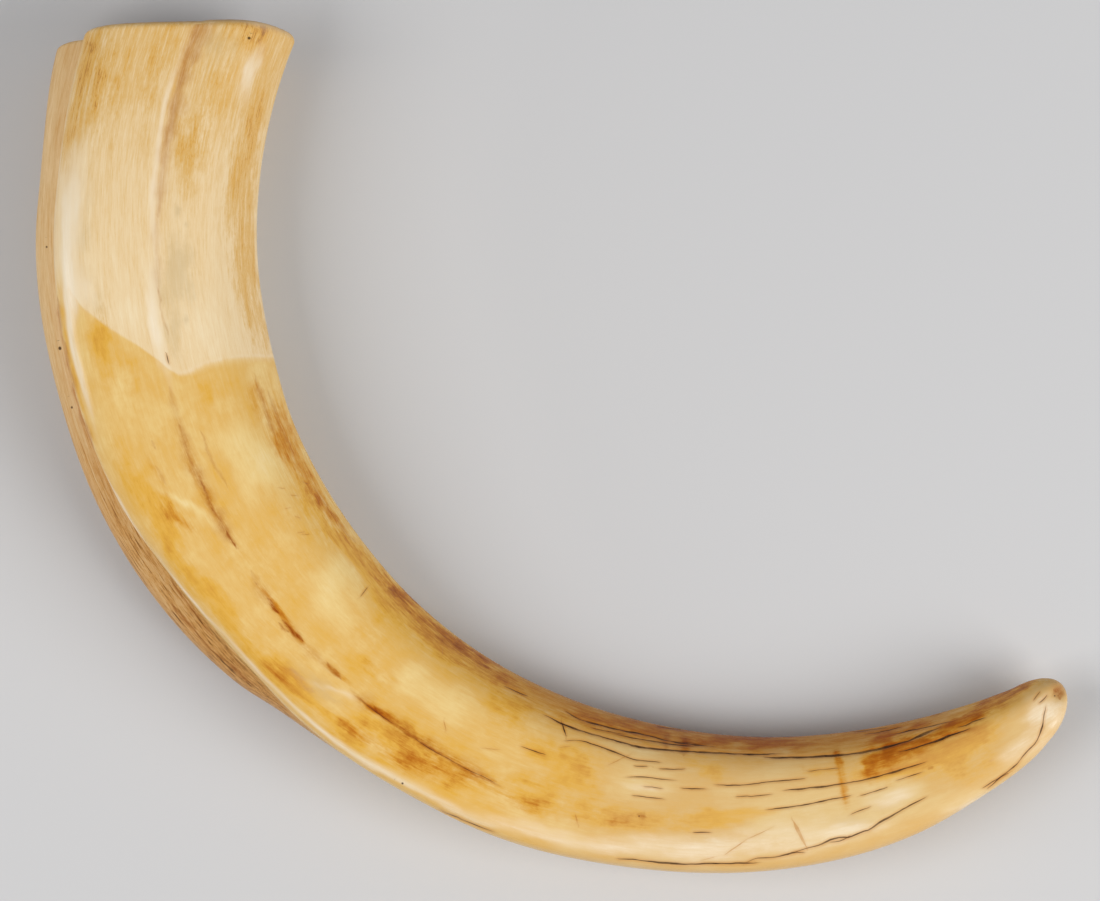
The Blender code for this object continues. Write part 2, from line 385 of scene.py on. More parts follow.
def relief(whole, size):
    # slow swellings, fine ripples along the grain, and a rougher cut face
    noteKind, vector = "GeometryNodeInputNamedAttribute", {"data_type": "FLOAT_VECTOR"}
    spine, section = (whole.node(noteKind, vector, {"Name": name}) for name in ("spine", "section"))
    along, kind = spine.parts()[0], section.parts()[2]
    slow, ripple, rough = (stretched(spine, length, width).noise(1, detail)
                           for length, width, detail in tusk["relief"].values())
    start, end, fading, staying = tusk["rippled"]
    ripples = ripple * ((1 - along.ramp(start, end)) * fading + staying)
    raised = (slow * size["Undulation"] + ripples * size["Ripple"]) * (1 - kind.clamped())
    raised = (raised + rough * kind.bell(*tusk["rough"]) * size["Face roughness"]) * mm
    normal = whole.node("GeometryNodeInputNormal")
    offset = normal.node("ShaderNodeVectorMath", {"operation": "SCALE"}, {0: normal, "Scale": raised})
    moved = whole.node("GeometryNodeSetPosition", None, {"Geometry": whole, "Offset": offset})
    # nothing dips below the floor
    x, y, z = moved.node("GeometryNodeInputPosition").parts()
    return moved.node("GeometryNodeSetPosition", None,
                      {"Geometry": moved, "Position": x.vector(y, z.maths("MAXIMUM", 0))})


def tuskTree():
    tree = bpy.data.node_groups.new("tuskForm", "GeometryNodeTree")
    tree.interface.new_socket("Geometry", in_out="OUTPUT", socket_type="NodeSocketGeometry")
    for name, amount in tusk["sizes"].items():
        socket = tree.interface.new_socket(name, in_out="INPUT", socket_type="NodeSocketFloat")
        socket.default_value = amount
    tree.interface.new_socket("Finish", in_out="INPUT", socket_type="NodeSocketMaterial")
    given = tree.nodes.new("NodeGroupInput").outputs
    size = {name: Value(tree, given[name]) for name in tusk["sizes"]}
    join = tree.nodes.new("GeometryNodeJoinGeometry")
    for part in (skinSheet(Value(tree), size), cavitySheet(Value(tree), size)):
        tree.links.new(part.socket, join.inputs[0])
    whole = Value(tree, join.outputs[0])
    whole = whole.node("GeometryNodeMergeByDistance", None, {"Geometry": whole, "Distance": 0.01 * mm})
    whole = relief(whole, size)
    whole = whole.node("GeometryNodeSetShadeSmooth", None, {0: whole, "Shade Smooth": True})
    whole = whole.node("GeometryNodeRealizeInstances", None, {"Geometry": whole})
    finish = Value(tree, given["Finish"])
    whole = whole.node("GeometryNodeSetMaterial", None, {"Geometry": whole, "Material": finish})
    whole.node("NodeGroupOutput", None, {0: whole})
    return tree


def sweptTusk(material):
    # runs the tree on an empty mesh and keeps the result as a plain mesh
    carrier = bpy.data.objects.new("tuskCarrier", bpy.data.meshes.new("tuskCarrier"))
    bpy.context.scene.collection.objects.link(carrier)
    modifier = carrier.modifiers.new("form", "NODES")
    modifier.node_group = tuskTree()
    amounts = {**tusk["sizes"], "Finish": material}
    for item in modifier.node_group.interface.items_tree:
        if item.in_out == "INPUT":
            modifier[item.identifier] = amounts[item.name]
    shown = carrier.evaluated_get(bpy.context.evaluated_depsgraph_get())
    mesh = bpy.data.meshes.new_from_object(shown)
    carrier.modifiers.clear()
    bpy.data.objects.remove(carrier)
    mesh.name = "tuskSkin"
    piece = bpy.data.objects.new("tuskSkin", mesh)
    bpy.context.scene.collection.objects.link(piece)
    return piece


# The marks: where cracks, stains, painted shade and highlights, and patches lie, as distances along and
# across the spine in mm, seen from straight above. Across is positive on the outer side.

marks = {
    # the edge of the gum: pale on the root's side and amber beyond, as (across, along)
    "gumTop": ((-23.2, 82.2), (-21.2, 81.3), (-17, 80), (-13.7, 79.4), (-8.7, 79.3), (-5.3, 80.3),
               (-2.8, 80.1), (-0.75, 78), (0.9, 75.5), (4.7, 71.3), (10.5, 66.3), (15.7, 61.3), (18, 57)),
    "gumUnder": ((-23.2, 82.2), (-14, 76), (-4, 79), (6, 68), (14, 60), (18, 57)),
    # cracks: width, then the points of the line
    "cracks": (
        (0.15, (200, -3.6), (207, -3.8)),
        (0.22, (209.5, -8.0), (212, -8.9), (214, -9.25), (217, -9.1), (221, -8.7), (227, -7.8),
         (233.7, -8.0)),
        (0.30, (202, -12.2), (212, -11.4), (220, -11.2), (229.5, -10.75), (238.7, -11.2), (248.7, -11.0),
         (258.7, -10.5), (264, -10.2)),
        (0.24, (207, -14.7), (212, -13.7), (227, -13.7), (233, -13.2), (238.7, -12.8), (247, -12.4)),
        (0.18, (220, -12.6), (231, -12.5), (242, -12.2)), (0.18, (225, -3.25), (230, -4.25), (238, -4.3)),
        (0.15, (227.5, 0.3), (235.5, 0.1)), (0.16, (238.7, -2.6), (245.5, -2.9)),
        (0.15, (230, -2.0), (235, -2.2)), (0.16, (227, -6.2), (230.5, -6.6)),
        (0.16, (233, -6.4), (239.5, -7.0)),
        (0.22, (246, -3.9), (249.5, -3.7), (252, -3.8), (258.7, -4.25), (268, -4.1)),
        (0.17, (251, -1.1), (260.5, -1.3)), (0.23, (257.5, 2.0), (267, 1.75), (278, 1.3)),
        (0.16, (279, 2.0), (286, 1.6)),
        (0.28, (261.6, -2.0), (271, -1.75), (282, -1.3), (289.5, -1.3), (296.2, -1.2)),
        (0.14, (287.5, 0.7), (294.5, 0.6)),
        (0.42, (258, -9.9), (265, -9.25), (275, -8.25), (280, -7.7), (286.3, -7.3), (293.7, -7.1),
         (298, -7.4), (302.4, -7.2)),
        (0.36, (290.0, -5.3), (293.8, -5.1), (300, -4.8), (305.4, -4.7), (308.2, -4.3)),
        (0.27, (305.0, -5.8), (307.6, -5.4), (309.0, -5.6), (312.2, -5.0)),
        (0.14, (242, 7.1), (247, 6.9)), (0.16, (276, 5.7), (281, 4.9)),
        (0.28, (227, 15.1), (230, 14.7), (240, 14.4), (247, 14.0), (257, 13.8)),
        (0.26, (253.0, 13.9), (254.5, 13.1), (256, 12.75), (260, 12.8), (263.5, 12.2), (266.6, 12.6)),
        (0.28, (262.5, 12.4), (265.5, 11.6), (268.7, 11.3), (271.0, 10.4), (273, 10.2), (275.0, 10.7),
         (277.4, 10.1), (279.5, 9.9), (282, 8.7), (285, 8.0), (289.5, 6.75), (293.5, 6.2)),
        (0.16, (270.5, 11.0), (273, 11.0), (275.2, 10.3)),
        (0.23, (305, 9.8), (310, 8.4), (313.3, 7.75), (316.7, 6.2), (319.2, 5.5), (321, 4.3), (322.5, 3.0),
         (324.2, 0.9), (325.8, -0.75)),
        (0.18, (304.5, 9.1), (308, 8.6), (311, 8.5)), (0.18, (230, -15.9), (243, -15.7)),
        (0.20, (279.5, -12.8), (290, -11.2)),
        (0.18, (289.2, -9.5), (295.3, -9.0), (300.1, -8.3), (305.8, -7.5)),
        (0.13, (190.5, -14.5), (198, -14.7)), (0.08, (161, 5.0), (164, 5.1), (175, 5.3)),
        (0.08, (176, 5.2), (185, 5.7), (195, 5.9), (201.5, 6.6)), (0.26, (74.6, -1.1), (76.8, -1.3)),
        (0.14, (268, -5.7), (276, -5.2)), (0.16, (283, -11.3), (287.4, -10.9), (293.4, -10.4)),
        (0.17, (300.2, -10.3), (306, -10.1), (311, -9.4)), (0.24, (207.8, -11.9), (209.8, -9.2)),
        (0.13, (324.3, -1.7), (325.7, -1.9), (327.2, -2.3)), (0.12, (323.6, -3.0), (326.4, -3.9)),
        (0.12, (235.5, -13.2), (246, -12.9)), (0.12, (214, -12.6), (225, -12.9)),
        (0.20, (148.0, -15.3), (148.4, -12.4)), (0.16, (189, 16.9), (196, 16.8), (203, 16.5)),
    ),
    # scratches and knocks, browner than the cracks
    "scratches": (
        (0.60, (263.8, 5.2), (264.8, 8.0), (265.8, 11.0)),
        (0.16, (247.4, 13.0), (253.7, 8.4), (260.3, 5.5)), (0.16, (221, -5.3), (226, -8.7)),
        (0.24, (216.6, 7.0), (217.6, 9.0)), (0.16, (243.8, 13.4), (247.0, 12.4)),
        (0.16, (191.5, 0.6), (196.5, -1.2)), (0.16, (182, -1.4), (183.6, 0.4)),
        (0.16, (172.5, -15.2), (173.6, -13.8)), (0.12, (114, -13), (115.3, -14.3)),
        (0.12, (117.4, -14.6), (118.6, -16.0)), (0.12, (119.5, -12.0), (120.2, -13.4)),
        (0.12, (126.2, -11.2), (127.0, -12.6)), (0.12, (122.4, -12.9), (124, -13.8)),
        (0.12, (127.1, -12.0), (128.3, -13.0)), (0.14, (116, -18.6), (117.5, -19.6)),
        (0.14, (147.4, -17.6), (149.4, -18.4)), (0.15, (209, -6.3), (211.5, -7.2)),
    ),
    # soft patches of colour, and of painted highlight among the white ones: along, across, half length, half
    # width, strength, and a tilt if any
    "patches": {
        "cream": (
            (107, -11, 7, 4, 0.8), (100, -7, 5, 2, 0.4), (114, -6, 7, 3, 0.45), (141, -11, 5, 4.5, 0.7),
            (146, -5, 6, 4, 0.45), (151, -9, 5, 4, 0.3), (170, -6, 5, 4.5, 0.8), (181, -5, 7, 4, 0.7),
            (186, -9, 6, 3, 0.6), (193, 0.3, 4, 1.2, 0.6), (98, -11, 6, 3, 0.5),
            (107, 7.0, 8, 1.2, 0.9, -0.63), (80, -14, 6, 5, 0.4), (110, -15, 8, 3, 0.3),
            (147, -14.5, 12, 2.6, 0.35), (296, 9, 9, 3, 0.4), (292.4, -9.9, 3, 0.7, 0.7),
            (305.5, -9.3, 5, 0.9, 0.5), (126, 9, 12, 4, 0.35), (259, -6.5, 11, 3.4, 0.55),
            (230, -3.6, 7, 5, 1.0), (216, 2.5, 5, 2, 0.4), (264, 4, 18, 9, 0.6), (272, 6, 12, 5, 0.5),
            (287, 5.5, 9, 4.5, 0.65), (205, -0.5, 6, 2, 0.4), (199, -3, 5, 3, 0.4), (318, 1, 6, 4.5, 0.6),
            (285, 0.5, 7, 1.5, 0.5), (225, -10.5, 9, 1.5, 0.9), (248, -3, 5, 1.5, 0.5),
            (66, 5, 7, 4, 0.5), (304, 11.5, 9, 3.0, 0.7), (286, 3.6, 6, 2.2, 0.7), (69, -11, 9, 6, 0.6),
        ),
        "amber": (
            (68, 13.0, 8, 3.4, 0.8), (85, -8.5, 5, 5, 0.25), (76, 9, 7, 4, 0.3), (98, 15, 8, 2.6, 0.65),
            (112, 14, 12, 3, 0.75), (128, 13.5, 10, 2.4, 0.8), (148, 12, 6, 2.6, 0.9),
            (163, -1.5, 4.5, 3, 0.6), (156, -9, 3, 5, 0.4), (192, -10, 6, 4, 0.5),
            (197, -11, 3, 2.5, 0.6), (101, -8, 4, 3, 0.3), (204, -3.5, 7, 3.2, 0.55),
            (290, -2.6, 9, 1.8, 0.5), (15, 14, 13, 4, 0.75), (12, 17.8, 10, 1.2, 0.9),
            (26, 18, 9, 1.1, 0.8), (12, 2, 16, 2.2, 0.5), (27, -10, 13, 4, 0.5),
            (36, -20.5, 20, 3.2, 0.85), (60, -21.5, 16, 2.2, 0.7), (25, -23, 18, 2.0, 0.8),
            (62, -23, 16, 1.8, 0.7), (25, -8, 9, 2, 0.35), (20, 8.5, 16, 1.5, 0.35),
            (220, 4.6, 9, 3.6, 0.5), (236, 5.2, 8, 2.4, 0.55), (250, 3.2, 8, 1.9, 1.0),
            (214, 0, 7, 3.2, 0.5), (244, -7, 5, 2, 0.9), (229, 7.4, 7, 1.4, 0.35),
            (205, 6.5, 10, 4.0, 0.65), (296, -2, 11, 4, 0.7), (304, -2, 8, 2.6, 0.4),
            (305, 4, 12, 4, 0.4), (312, -3, 9, 3, 0.5), (123, -18, 10, 2.6, 0.45),
            (218, -14, 16, 1.8, 0.8), (74, 20.2, 17, 0.7, 0.9), (212, -5, 9, 4, 0.5),
            (141, 14, 9, 1.5, 0.6), (165, 13, 14, 1.8, 0.7), (178, 8, 12, 4, 0.8),
            (316, -7.2, 9, 2.0, 0.8), (153, -17, 14, 3.0, 0.9), (173, -15.8, 14, 2.4, 0.8),
            (288, -4, 8, 3.2, 0.7), (135, -18, 16, 1.8, 0.6), (160, -17.4, 18, 1.6, 0.6),
            (12, -12, 8, 3, 0.3), (-3, -13, 7, 7, 0.4), (257, 2.7, 7, 0.8, 0.6), (327, -6.5, 4, 1.6, 0.5),
            (269, -5, 6, 1.8, 0.6), (252, 3.6, 6, 1.6, 0.5), (107, 10.2, 6, 2.6, 0.55),
        ),
        "rust": (
            (-8.5, -19, 2.6, 3, 0.7), (-4, -18, 3, 4, 0.3), (-0.5, 1.8, 1.2, 2.2, 0.5),
            (-6.4, -1.6, 0.9, 2.4, 0.7), (-7, -12, 2, 5, 0.3), (109, 10, 4.5, 1.6, 0.6, -0.4),
            (100, 9.5, 6, 0.9, 0.35), (147, 12.6, 4, 1.7, 0.5), (169, 12, 4, 0.8, 0.6),
            (168, 10.8, 4, 1.1, 0.45), (186, 9, 7, 2.6, 0.55), (178, 11.6, 6, 1.3, 0.45),
            (177, 4.9, 13, 1.6, 0.45), (179, 8.6, 5, 1.8, 0.35), (193, 6.6, 5, 1.6, 0.4),
            (205, 7.8, 7, 1.9, 0.36), (226, 6.8, 8, 0.9, 0.2), (161, -2.5, 2, 2.4, 0.25),
            (107, 1.5, 13, 1.3, 0.4), (137, 3.2, 5, 0.7, 0.9), (144, 3.8, 4, 0.5, 0.8),
            (155, 3.9, 5, 0.7, 0.6), (169, 4.8, 3, 0.9, 0.8), (282.0, -4.9, 1.1, 3.0, 0.7),
            (275.5, -1, 0.9, 4.2, 0.75), (276.0, -7.0, 0.9, 2.6, 0.7), (238.7, -11, 1.0, 2.6, 0.5),
            (267.3, -7, 1.2, 2.6, 0.3), (99, -18.6, 13, 2.4, 0.5), (108, -20.5, 10, 2, 0.5),
            (125, -19.8, 10, 1.3, 0.7), (170, -18.0, 15, 1.9, 0.5), (152, -19.2, 13, 1.7, 0.35),
            (190, -16.9, 12, 1.6, 0.4), (247, -14.2, 13, 2.0, 0.6), (262, -12.9, 10, 1.9, 0.6),
            (228, -15.2, 10, 1.7, 0.45), (215, -15, 8, 1.7, 0.4), (286, -4.4, 5, 2.4, 0.5),
            (293, -6.3, 6, 1.6, 0.5), (303, -6.4, 5, 1.5, 0.7), (284, -5.6, 1.0, 2.6, 0.5),
            (288, -6.2, 1.3, 2.4, 0.5), (285, -8.5, 3.4, 1.3, 0.8), (297.2, -9.6, 3, 0.9, 0.7),
            (310, -6.9, 7, 1.2, 0.7), (318, -8.2, 8, 1.6, 0.45), (325, -7.2, 4, 1.3, 0.35),
            (290, -4.4, 5, 1.6, 0.4),
        ),
        "white": (
            # pale ivory, and painted highlights: the groove's lip, the ridge crest, the outer band and the
            # root's inner corner
            (40, 16.0, 12, 2.4, 0.7), (58, 14.4, 5, 2.6, 0.5), (68, -0.2, 12, 1.5, 0.9),
            (38, -1.9, 18, 0.9, 0.6), (14, -2.2, 13, 0.8, 0.6), (155, 8.4, 6, 1.2, 0.3, -0.4),
            (161, 5.6, 2.4, 1.0, 0.4), (158, 6.6, 2.5, 0.5, 0.3, -0.4), (190, 15.0, 13, 1.1, 0.45),
            (208, 13.4, 13, 2.0, 0.5), (226, 11.9, 13, 2.4, 0.5), (245, 10.6, 12, 3.1, 0.6),
            (262, 8.4, 12, 4.2, 0.4), (276, 9, 9, 2.5, 0.55), (4.5, -18.9, 7, 1.7, 0.75),
            (326, 1.0, 5, 4.2, 0.85), (316, 4.4, 6, 1.8, 0.5), (318, 7.2, 7, 1.6, 0.4),
            (53, 17.7, 11, 1.2, 1.0), (70, 18.9, 14, 0.7, 1.0), (-9, -15, 2, 8, 0.5),
            (175, 15.6, 12, 0.7, 0.7), (230, -1.6, 5, 0.9, 0.5), (103, 19.8, 11, 0.45, 0.7, -0.09),
            (124, 16.9, 10, 0.45, 0.7, -0.1), (145, 15.6, 12, 0.45, 0.6), (160, 15.9, 9, 0.45, 0.6),
            (286, 3.8, 6, 1.8, 0.6), (303, 11.8, 8, 2.4, 0.6),
        ),
        "grey": (
            (56, -6.5, 8, 4.5, 0.9), (42, -7, 1.7, 1.0, 1.0), (45, -9.3, 1.0, 0.7, 0.6),
            (68.3, -7, 1.1, 0.5, 0.6), (155, 9.0, 7, 2.8, 0.65), (279, 7, 10, 3, 0.5),
            (60, 12.5, 5, 2.6, 0.4), (44, 13.6, 13, 3.0, 0.4), (128, 18.0, 22, 1.2, 0.5),
            (70, -4, 7, 2, 0.5), (246, 9, 8, 1.6, 0.3), (0, -9.5, 7, 6, 0.6),
        ),
        "dark": (
            (153, -18.2, 1.4, 0.5, 0.25), (238.7, -12.9, 1.0, 1.2, 0.55), (234, -13, 0.9, 1.0, 0.5),
            (275.7, -8.3, 1.2, 0.8, 0.4), (307, -4.3, 1.4, 0.6, 0.4), (329.6, -1.6, 1.4, 1.5, 0.6),
        ),
    },
    # brown stains along the streak and the edges, and painted shade along the groove and the furrow: width,
    # strength, then the points of the line
    "stains": (
        (1.8, 0.30, (81, 0.1), (90, 0.8), (97, 1.3)),
        (2.4, 0.45, (90, 0.9), (102, 1.6), (110, 1.7), (122, 2.2)),
        (1.2, 0.40, (94, 1.2), (102, 1.6), (110, 1.7), (122, 2.2)), (0.5, 0.70, (103, 1.5), (113, 1.9)),
        (0.5, 0.85, (116, 2.1), (122, 2.2)), (1.8, 0.30, (126, 2.4), (135, 3.4), (150, 4.1), (158, 4.4)),
        (0.9, 1.40, (133.2, 3.3), (135.5, 3.3), (138.6, 3.5)),
        (0.8, 1.20, (139, 3.8), (143, 3.8), (147, 3.7)), (0.5, 1.00, (139, 4.6), (143, 4.7)),
        (0.8, 0.80, (152.5, 3.7), (155, 4.2), (158.5, 4.4)), (0.4, 0.60, (129, 3.2), (131.5, 2.6)),
        (2.6, 0.34, (160, 4.6), (168, 4.9), (178, 5.0), (190, 5.2), (199, 5.8)),
        (0.9, 0.95, (167.2, 4.7), (170, 4.7)), (1.2, 0.45, (172, 4.8), (178, 5.1), (187, 5.2)),
        (0.4, 0.50, (160, 5.0), (175, 5.3), (185, 5.7), (201.5, 6.6)),
        # brown along the groove: partly dirt in it, partly painted shade below its lit lip
        (2.2, 0.40, (-8, -6.6), (-2, -6.6), (8, -5.6)),
        (2.6, 0.34, (-6, -4.7), (6, -4.6), (16, -4.5), (28, -4.1)),
        (2.0, 0.30, (-6, -4.2), (8, -4.2), (22, -4.0), (44, -2.9)),
        (1.4, 0.25, (-6, -4.0), (12, -4.0), (34, -3.3), (62, -1.9)),
        (0.5, 0.35, (58, -2.0), (66, -2.1), (73, -2.6)),
        # painted shade in the furrow, under the ridge's edge
        (0.6, 0.60, (57, 20.9), (66, 20.9), (75, 20.7), (84, 20.9), (92, 20.7)),
        (0.5, 0.40, (92, -3.3), (101, -3.0), (110, -3.2)), (0.5, 0.35, (96, 9.3), (103, 8.6)),
        (0.5, 0.60, (91.4, 7.8), (94.2, 7.6)), (0.7, 0.40, (84, -19.2), (92, -18.7), (104, -18.3)),
        (0.6, 0.35, (89, -20.6), (100, -20.3), (112, -19.6)),
        (0.7, 0.40, (117, -19.8), (128, -20.1), (139, -19.8)),
        (0.8, 0.80, (151.3, -18.3), (155.7, -18.2)), (0.9, 0.40, (161, -17.8), (170, -17.3), (181, -17)),
        (1.2, 0.30, (180, -16.8), (197, -15.8)),
        (2.4, 0.45, (238.8, -9.6), (238.6, -11.5), (239.0, -14.4)),
        (2.2, 0.50, (234.4, -10.8), (234.1, -12.4), (234.6, -14.6)),
        (1.6, 0.70, (229.4, 4.8), (231.8, 4.7)), (0.7, 0.70, (295.2, 0.9), (296.8, 0.6)),
        (0.8, 0.70, (138, 19.3), (142, 18.9), (147, 18.2)),
        (0.5, 0.70, (118, 18.6), (126, 18.2), (134, 17.8)),
        (0.5, 0.60, (120, 21.2), (132, 20.4), (142, 19.4)),
        (1.9, 0.80, (328.8, 0.4), (329.5, -1.2), (328.9, -2.8)),
    ),
    # pinholes and specks: along, across, radius
    "dots": (
        (-3.7, -16.0, 0.36), (49, 22.3, 0.2), (68.7, 22, 0.34), (80.3, 22.5, 0.22), (181, 15.5, 0.22),
        (230.2, 4.7, 0.14), (329.6, -0.4, 0.26), (329.2, -2.2, 0.32), (328.4, -1.2, 0.16),
    ),
    # the hidden side's own cracks: width, then (along, degrees round the section)
    "hiddenCracks": (
        (0.28, (206, 262), (224, 258), (241, 260), (252, 257)),
        (0.22, (232, 284), (247, 281), (263, 283)),
        (0.30, (248, 241), (262, 244), (281, 242), (297, 245)),
        (0.20, (259, 300), (272, 298), (284, 301)), (0.24, (272, 266), (289, 263), (303, 266)),
        (0.20, (215, 225), (229, 228), (238, 226)), (0.22, (186, 276), (199, 273), (208, 275)),
        (0.20, (262, 330), (276, 327), (291, 331)), (0.18, (290, 215), (301, 217), (312, 214)),
        (0.16, (150, 250), (163, 252), (171, 250)),
    ),
    # how far from a line its width holds, where it is gone, and how far past its ends it runs on
    "lineReach": (0.8, 1.4, 0.8),
    "stainReach": (2.4, 3.6, 0),
    "farAway": 9,                       # what is noted where there is no line or dot
    "lineStep": 0.4,
    "wander": {"line": 0.05, "stain": 0.18},    # how far one strays sideways
    "wanderWaves": ((8, 1), (2.6, 0.6), (1.1, 0.45)),   # length, and share of the wander
    # how far a line thins out towards its ends: at most, and as shares of its length
    "taper": {"longest": 6.0, "within": 0.42, "beyond": 0.12, "power": 0.7},
    "swell": {"length": 5, "strength": 0.35, "least": 0.35, "most": 1.5},
    "margin": 1.5,                      # how far beyond a line's reach the points are still looked at
    "dotReach": 2.2,
    # how far the patches' plan is pulled about, and in waves how long: at large along, and in detail
    "pull": {"along": ((24, 1.0), (7, 0.5)), "across": ((15, 0.6), (5, 0.3))},
    "crackDepth": 0.22,
    "crackLip": 0.6,                    # how far beside it a crack still dips
    "fullWidth": 0.4,                   # of a crack that is pressed in to its full depth
    "shallower": 0.6,                   # how much less a scratch is pressed in
    # the upper skin starts where the section's sine is this, and this much higher beside the furrow
    "top": {"from": -0.2, "furrowed": 0.3, "outward": (0, 0.5), "blend": 0.22},
    # the strip along the furrow, in degrees round the section, and where along it the strip ends
    "strip": {"starts": (-75, -30), "ends": (6, 20), "fades": (150, 178)},
    "gumSides": (-0.1, 0.1),            # of the section's sine, from the gum line underneath to that on top
    "leastTop": 0.3,                    # marks lie where the skin belongs this much to the top
    "leastUp": {"line": 0.08, "stain": 0.05},   # and where it faces up this much
    "foreshortening": (2, 0.35, 1),     # how a slope narrows a line: factor, least, most
    "hiddenRadius": 13,                 # turns the underside's degrees into mm
    "seeds": {"cracks": 100, "scratches": 900, "hiddenCracks": 1700, "stains": 2500},
}


def swirl(a, b, size, seed):
    # smooth noise about 0, made of a few waves in seeded directions
    random = np.random.default_rng(seed)
    total = np.zeros_like(a)
    for _ in range(8):
        turn, phase = random.uniform(0, math.tau, 2)
        wave = size * random.uniform(0.6, 1.8)
        total += np.sin((a * math.cos(turn) + b * math.sin(turn)) * math.tau / wave + phase)
    return total / 2.5


def smooth(value, start, end):
    share = np.clip((value - start) / (end - start), 0, 1)
    return share * share * (3 - 2 * share)


def seenFromAbove(points):
    # how far along and across the spine the camera sees each point, in mm
    aim = np.array(view["aim"])
    flat = aim + (points[:, :2] - aim) * (view["eye"] - view["sharp"]) / (view["eye"] - points[:, 2:])
    east, north = (flat - np.array(view["spineCentre"])).T
    turn = np.degrees(np.arctan2(north, east)) % 360 - tusk["sizes"]["Root angle"]
    return np.radians(turn) * view["spineRadius"], np.hypot(east, north) - view["spineRadius"]


def lineOf(points, seed, wander):
    # a line's points as many short steps, with a slight wander sideways
    points = np.array(points, float)
    reached = np.append(0, np.cumsum(np.hypot(*np.diff(points, axis=0).T)))
    steps = np.linspace(0, reached[-1], max(4, int(reached[-1] / marks["lineStep"])))
    line = np.stack([np.interp(steps, reached, points[:, axis]) for axis in (0, 1)], axis=1)
    for wave, share in marks["wanderWaves"]:
        line[:, 1] += wander * share * swirl(steps, steps * 0, wave, seed + int(wave))
    return line, reached[-1]


def besideLine(places, line):
    # signed distance from a line, and how far along it the nearest point is, from 0 to 1
    start, step = line[:-1], np.diff(line, axis=0)
    gap = places[:, None, :] - start[None]
    share = np.clip((gap * step).sum(2) / (step ** 2).sum(1), 0, 1)
    away = gap - share[..., None] * step
    far = np.hypot(away[..., 0], away[..., 1])
    row, nearest = np.arange(len(places)), far.argmin(1)
    ahead, aside = step[nearest].T
    side = np.sign(ahead * gap[row, nearest, 1] - aside * gap[row, nearest, 0])
    return side * far[row, nearest], (nearest + share[row, nearest]) / len(step)


def layLines(layers, lines, places, slope, kind, seed):
    # notes each line's signed distance, width and tone on the points beside it, in a layer free of others;
    # slope is 0 where none may lie, and less than 1 where the skin turns away from the camera
    full, gone, past = marks[kind + "Reach"]
    thin, thick = marks["taper"], marks["swell"]
    for number, (width, tone, *points) in enumerate(lines):
        line, length = lineOf(points, seed + 10 * number, marks["wander"][kind])
        edge = gone + marks["margin"]
        inside = (places > line.min(0) - edge) & (places < line.max(0) + edge)
        near = np.flatnonzero(inside.all(1) & (slope > 0))
        offset, reached = besideLine(places[near], line)
        offset = offset / slope[near]
        fade = 1 - smooth(np.abs(offset), full, gone)
        toEnd = np.minimum(reached, 1 - reached) * length
        outer, inner = min(past, thin["beyond"] * length), min(thin["longest"], thin["within"] * length)
        taper = smooth(toEnd, -outer, inner) ** thin["power"]
        swell = thick["strength"] * swirl(reached * length, reached * 0, thick["length"], seed + number)
        wide = width * fade * taper * np.clip(1 + swell, thick["least"], thick["most"])
        used = near[wide > 0]
        layer = next((each for each in layers if not each[used, 1].any()), None)
        if layer is None:
            layer = np.zeros((len(places), 3), np.float32)
            layer[:, 0] = marks["farAway"]
            layers.append(layer)
        closer = (layer[near, 1] == 0) & (np.abs(offset) < np.abs(layer[near, 0]))
        closer |= wide > 0
        layer[near[closer], 0] = offset[closer]
        layer[used, 1] = wide[wide > 0]
        layer[used, 2] = tone


def dotted(places, shown):
    # notes, near each pinhole or speck, the way to its middle and its radius
    found = np.zeros((len(places), 3), np.float32)
    found[:, 0] = marks["farAway"]
    for along, across, radius in marks["dots"]:
        away = places - (along, across)
        near = (np.abs(away) < marks["dotReach"]).all(1) & shown
        found[near, :2] = away[near]
        found[near, 2] = radius
    return found


def patched(name, along, across):
    # the sum of one colour's soft patches, on a plan pulled about unevenly
    seed = 50 * len(name)
    pulls = []
    for number, direction in enumerate(("along", "across")):
        (large, far), (small, near) = marks["pull"][direction]
        wide = far * swirl(along, across, large, seed + 2 * number)
        fine = near * swirl(along, across * 2, small, seed + 2 * number + 1)
        pulls.append(wide + fine)
    total = np.zeros_like(along)
    for there, off, length, width, strength, *tilt in marks["patches"][name]:
        a = along + pulls[0] * min(1, length / 4) - there
        b = across + pulls[1] * min(1, width / 2) - off
        slant = a * (tilt[0] if tilt else 0)
        total += strength * np.exp(-(a / length) ** 2 - ((b - slant) / width) ** 2)
    return np.clip(total, 0, 1)


def noted(mesh, name, values):
    note = mesh.attributes.new(name, "FLOAT_VECTOR", "POINT")
    note.data.foreach_set("vector", np.ascontiguousarray(values, np.float32).ravel())


def read(items, name, count):
    values = np.zeros(len(items) * count, np.float32)
    items.foreach_get(name, values)
    return values.reshape(-1, count).astype(float)


def zonesOf(spine, cosine, sine, along, across):
    # how much each point belongs to the upper skin and to the strip, and how far past the gum line it is
    plan, strip = marks["top"], marks["strip"]
    furrowed = 1 - smooth(spine[:, 0], *tusk["furrow"][2:])
    low = plan["from"] + plan["furrowed"] * furrowed * smooth(cosine, *plan["outward"])
    top = smooth(sine, low, low + plan["blend"])
    degrees = np.degrees(np.arctan2(sine, cosine))
    within = smooth(degrees, *strip["starts"]) * (1 - smooth(degrees, *strip["ends"]))
    gumTop = along - np.interp(across, *np.array(marks["gumTop"]).T)
    gumUnder = spine[:, 0] - np.interp(spine[:, 1], *np.array(marks["gumUnder"]).T)
    shown = smooth(sine, *marks["gumSides"])
    return top, within * (1 - smooth(spine[:, 0], *strip["fades"])), gumTop * shown + gumUnder * (1 - shown)


